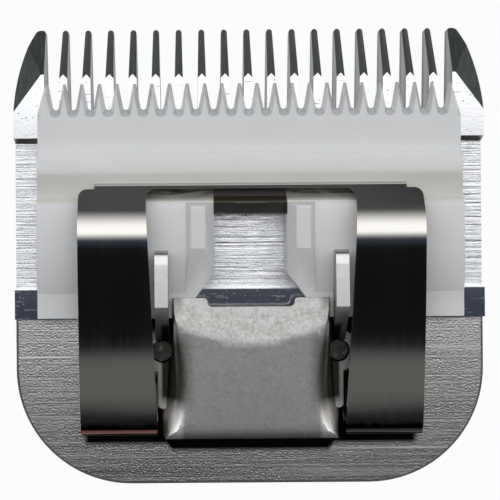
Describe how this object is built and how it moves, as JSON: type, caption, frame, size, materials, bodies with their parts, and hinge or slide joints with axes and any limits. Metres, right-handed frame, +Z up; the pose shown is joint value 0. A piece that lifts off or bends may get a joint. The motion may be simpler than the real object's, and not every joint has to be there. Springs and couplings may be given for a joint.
{
  "type": "clipper blade set",
  "caption": "Detachable hair clipper blade: toothed steel comb, white ceramic cutter sliding across it, looped tension spring and a stamped hinge socket on a rounded rear plate.",
  "frame": {"origin": "middle of the footprint, on the flat skin side of the comb", "axes": "+X along the cutter's stroke, +Y toward the tooth tips, +Z up from the skin side to the spring"},
  "size_m": [0.048, 0.047, 0.011],
  "materials": {
    "ground_steel": "ground and lapped",
    "white_ceramic": "satin",
    "spring_steel": "polished",
    "tumbled_steel": "matte, tumbled",
    "screw_steel": "satin"
  },
  "bodies": {
    "base": {"comb": "ground_steel", "tension_spring": "spring_steel", "socket": "tumbled_steel", "screws": "screw_steel"},
    "cutter": {"cutter": "white_ceramic"}
  },
  "joints": [
    {"name": "cutter_slide", "type": "slide", "parent": "base", "child": "cutter", "axis": [1, 0, 0], "range_m": [-0.0014, 0.0014]}
  ]
}
